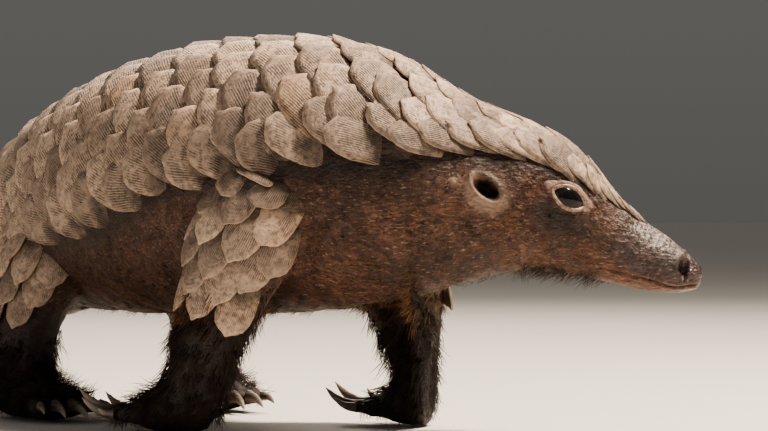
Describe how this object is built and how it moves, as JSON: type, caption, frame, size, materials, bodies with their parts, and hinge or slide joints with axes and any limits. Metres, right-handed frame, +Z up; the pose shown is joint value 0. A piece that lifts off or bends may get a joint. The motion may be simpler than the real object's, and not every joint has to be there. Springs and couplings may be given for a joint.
{
  "type": "white-bellied pangolin, still life-size animal model",
  "caption": "Life-size still model of a white-bellied pangolin standing on four feet, overlapping scales from brow to tail tip, long claws, tail laid on the floor.",
  "frame": {"origin": "on the floor, at the middle of the animal's footprint box", "axes": "+X along the way the head points, +Y towards the animal's left side at the head, +Z up"},
  "size_m": [0.687, 0.2802, 0.1361],
  "materials": {
    "scale": "dusty horn, finely striated",
    "skin": "dry reddish-brown skin",
    "hair": "short coarse dark hair over skin",
    "claw": "worn pale horn",
    "eye": "wet and glossy"
  },
  "bodies": {
    "root": {"head": "skin", "neck": "scale", "chest": "scale", "loin": "scale", "rump": "scale", "tail_1": "scale", "tail_2": "scale", "tail_3": "scale", "tail_4": "scale", "tail_5": "scale", "right_fore_leg": "scale", "left_fore_leg": "scale", "right_hind_leg": "scale", "left_hind_leg": "scale", "right_eye": "eye", "left_eye": "eye", "right_fore_foot": "hair", "right_fore_claw_1": "claw", "right_fore_claw_2": "claw", "right_fore_claw_3": "claw", "right_fore_claw_4": "claw", "right_fore_claw_5": "claw", "left_fore_foot": "hair", "left_fore_claw_1": "claw", "left_fore_claw_2": "claw", "left_fore_claw_3": "claw", "left_fore_claw_4": "claw", "left_fore_claw_5": "claw", "right_hind_foot": "hair", "right_hind_claw_1": "claw", "right_hind_claw_2": "claw", "right_hind_claw_3": "claw", "right_hind_claw_4": "claw", "right_hind_claw_5": "claw", "left_hind_foot": "hair", "left_hind_claw_1": "claw", "left_hind_claw_2": "claw", "left_hind_claw_3": "claw", "left_hind_claw_4": "claw", "left_hind_claw_5": "claw"}
  },
  "joints": []
}
